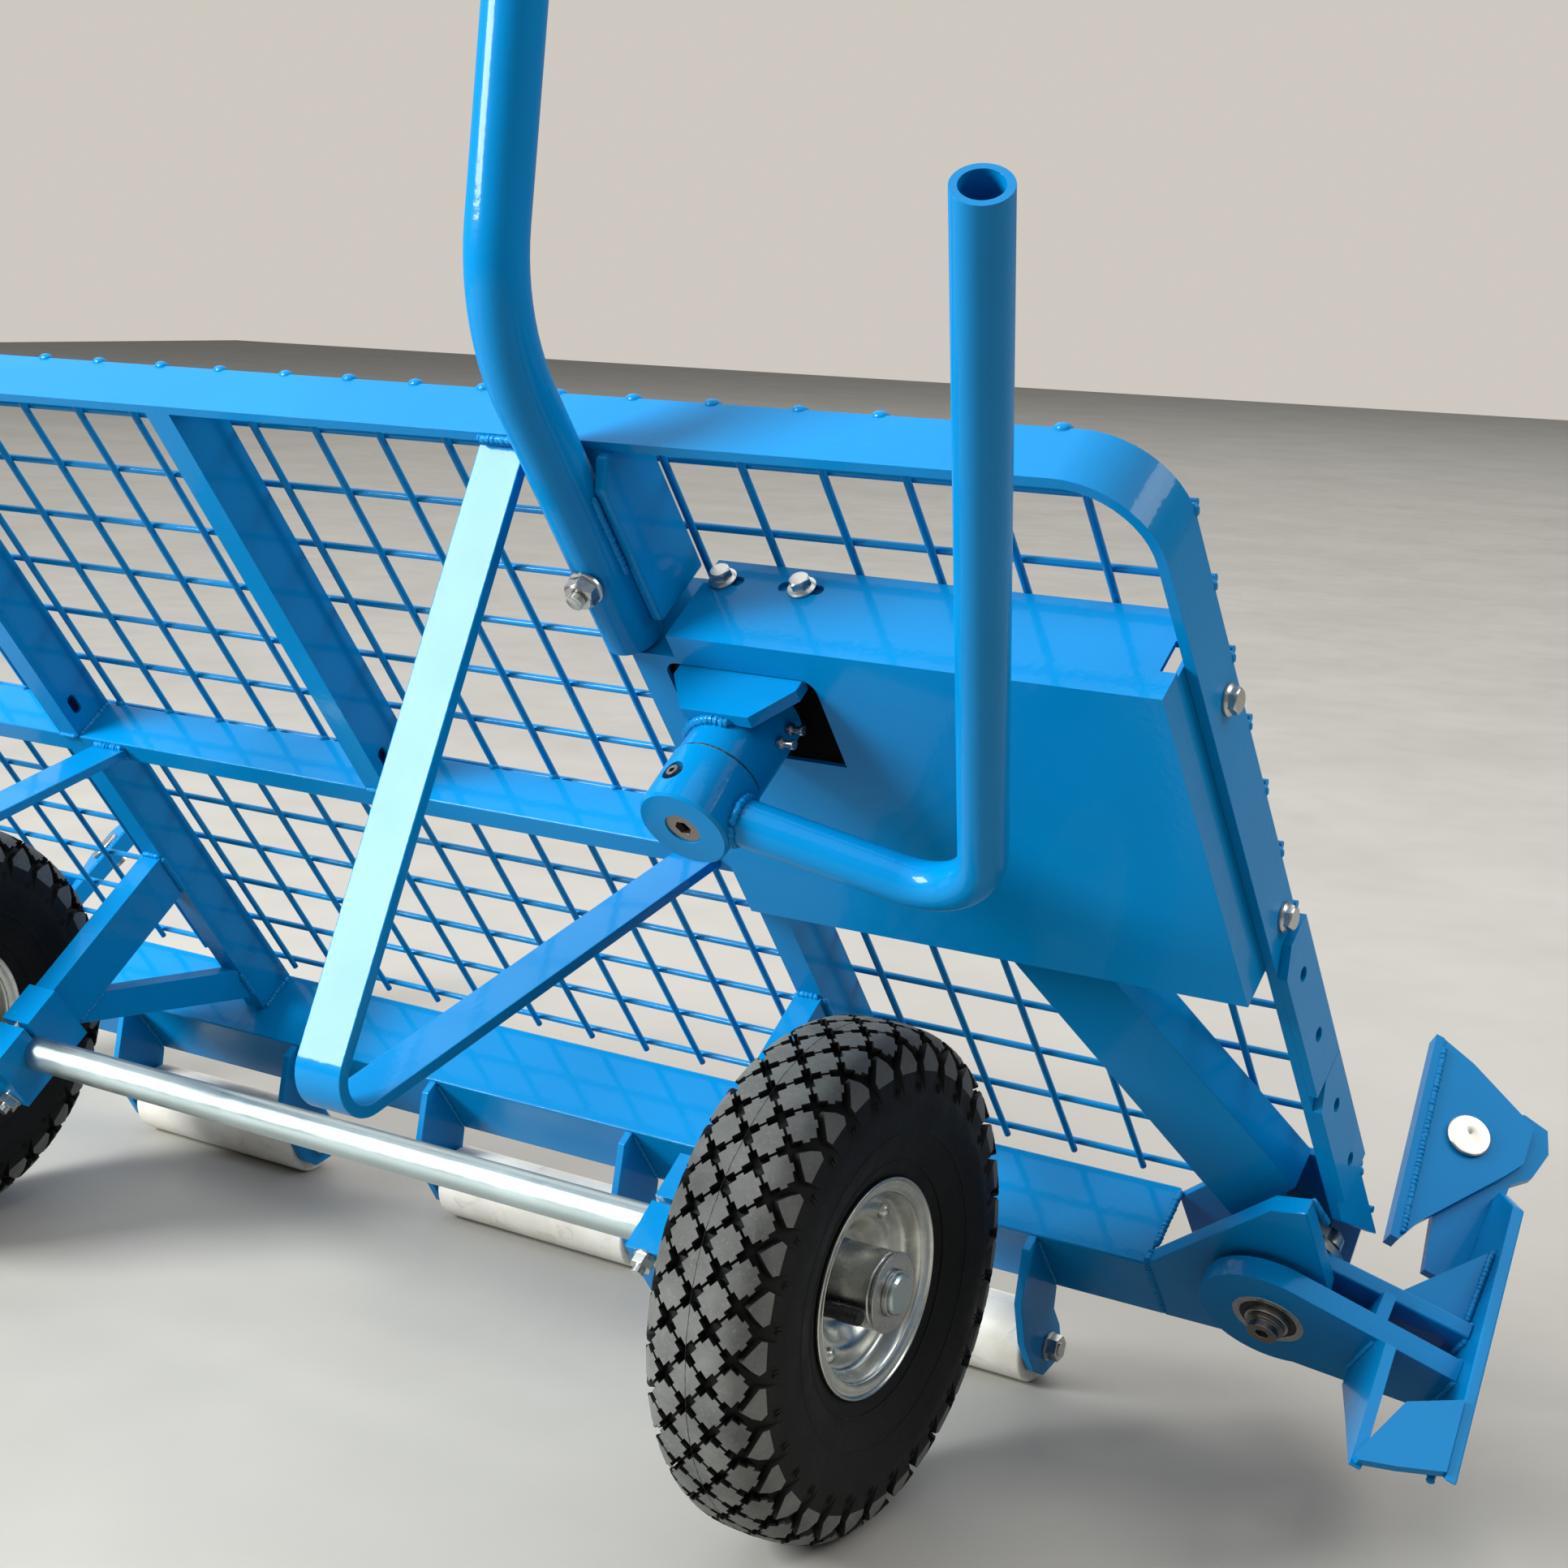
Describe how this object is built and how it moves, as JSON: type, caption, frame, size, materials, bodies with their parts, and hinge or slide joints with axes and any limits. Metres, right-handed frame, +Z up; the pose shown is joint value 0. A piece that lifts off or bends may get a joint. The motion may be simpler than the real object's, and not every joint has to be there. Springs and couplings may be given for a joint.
{
  "type": "hand truck",
  "caption": "Leaning panel hand truck with a mesh deck, pneumatic wheels, floor rollers, a push handle and a side lever that turns a lower corner claw.",
  "frame": {"origin": "centre of the bounding box's base, on the floor", "axes": "+X along the wheel axle to the lever's side, +Y towards the load, +Z up"},
  "size_m": [1.5152, 0.8374, 1.0668],
  "materials": {
    "blue_paint": "gloss powder coat",
    "tyre_rubber": "matt, worn tread",
    "valve_rubber": "matt",
    "zinc_rim": "zinc plated",
    "zinc_steel": "satin zinc",
    "stainless": "bright",
    "black_steel": "oiled",
    "nylon": "scuffed"
  },
  "bodies": {
    "frame": {"perimeter_bar": "blue_paint", "mid_rail": "blue_paint", "uprights": "blue_paint", "lower_channel": "blue_paint", "corner_cheeks": "blue_paint", "side_plates": "blue_paint", "wire_mesh": "blue_paint", "axle": "zinc_steel", "axle_struts": "blue_paint", "axle_clamps": "blue_paint", "clamp_bolts": "stainless", "v_legs": "blue_paint", "handle_bow": "blue_paint", "handle_brackets": "blue_paint", "handle_bolts": "stainless", "cover_box": "blue_paint", "cover_bracket": "blue_paint", "cover_bolts": "stainless", "drive_case": "blue_paint", "bearing_housing": "blue_paint", "bearing_stand": "blue_paint", "bearing_fittings": "stainless", "claw_axles": "stainless", "bearing_inners": "zinc_steel", "roller_brackets": "blue_paint", "roller_bolts": "stainless", "wheel_washers": "zinc_steel"},
    "lever": {"lever_shaft": "black_steel", "lever_hub": "blue_paint", "lever_tube": "blue_paint", "lever_screws": "stainless", "lever_crank": "black_steel"},
    "rod": {"drive_rod": "black_steel"},
    "claw_right": {"claw_front_arm_right": "blue_paint", "claw_rear_arm_right": "blue_paint", "claw_plate_right": "blue_paint", "claw_gussets_right": "blue_paint", "bearing_outer_right": "zinc_steel", "claw_crank": "black_steel"},
    "jaw_right": {"jaw_pad_right": "blue_paint", "jaw_pin_right": "stainless"},
    "wheel_right": {"tyre_right": "tyre_rubber", "rim_right": "zinc_rim", "wheel_hub_right": "zinc_steel", "valve_right": "valve_rubber"},
    "claw_left": {"claw_front_arm_left": "blue_paint", "claw_rear_arm_left": "blue_paint", "claw_plate_left": "blue_paint", "claw_gussets_left": "blue_paint", "bearing_outer_left": "zinc_steel"},
    "jaw_left": {"jaw_pad_left": "blue_paint", "jaw_pin_left": "stainless"},
    "wheel_left": {"tyre_left": "tyre_rubber", "rim_left": "zinc_rim", "wheel_hub_left": "zinc_steel", "valve_left": "valve_rubber"},
    "floor_roller_left": {"roller_left": "nylon"},
    "floor_roller_centre": {"roller_centre": "nylon"},
    "floor_roller_right": {"roller_right": "nylon"}
  },
  "joints": [
    {"name": "lever_turn", "type": "hinge", "parent": "frame", "child": "lever", "pos_m": [0.386, -0.16933, 0.46111], "axis": [0, -0.8, -0.6], "range_deg": [0, 45]},
    {"name": "rod_pivot", "type": "hinge", "parent": "lever", "child": "rod", "pos_m": [0.40598, -0.08686, 0.53448], "axis": [0, -0.8, -0.6], "range_deg": [-45, 0]},
    {"name": "claw_right_turn", "type": "hinge", "parent": "frame", "child": "claw_right", "pos_m": [0.606, 0.16327, 0.11431], "axis": [0, -0.8, -0.6], "range_deg": [0, 45]},
    {"name": "claw_left_turn", "type": "hinge", "parent": "frame", "child": "claw_left", "pos_m": [-0.606, 0.16327, 0.11431], "axis": [0, 0.8, 0.6], "range_deg": [0, 45]},
    {"name": "jaw_right_swivel", "type": "hinge", "parent": "claw_right", "child": "jaw_right", "pos_m": [0.65528, 0.37045, 0.1764], "axis": [0.5, -0.5196, 0.6928], "range_deg": [-8, 8]},
    {"name": "jaw_left_swivel", "type": "hinge", "parent": "claw_left", "child": "jaw_left", "pos_m": [-0.65528, 0.37045, 0.1764], "axis": [-0.5, -0.5196, 0.6928], "range_deg": [-8, 8]},
    {"name": "wheel_right_spin", "type": "hinge", "parent": "frame", "child": "wheel_right", "pos_m": [0.41, -0.04713, 0.15651], "axis": [1, 0, 0], "continuous": true},
    {"name": "wheel_left_spin", "type": "hinge", "parent": "frame", "child": "wheel_left", "pos_m": [-0.41, -0.04713, 0.15651], "axis": [1, 0, 0], "continuous": true},
    {"name": "roller_left_spin", "type": "hinge", "parent": "frame", "child": "floor_roller_left", "pos_m": [-0.335, 0.20587, 0.02751], "axis": [1, 0, 0], "continuous": true},
    {"name": "roller_centre_spin", "type": "hinge", "parent": "frame", "child": "floor_roller_centre", "pos_m": [0, 0.20587, 0.02751], "axis": [1, 0, 0], "continuous": true},
    {"name": "roller_right_spin", "type": "hinge", "parent": "frame", "child": "floor_roller_right", "pos_m": [0.335, 0.20587, 0.02751], "axis": [1, 0, 0], "continuous": true}
  ],
  "couplings": [
    {"joint": "rod_pivot", "follows": "lever_turn", "ratio": -1},
    {"joint": "claw_right_turn", "follows": "lever_turn", "ratio": 1}
  ]
}
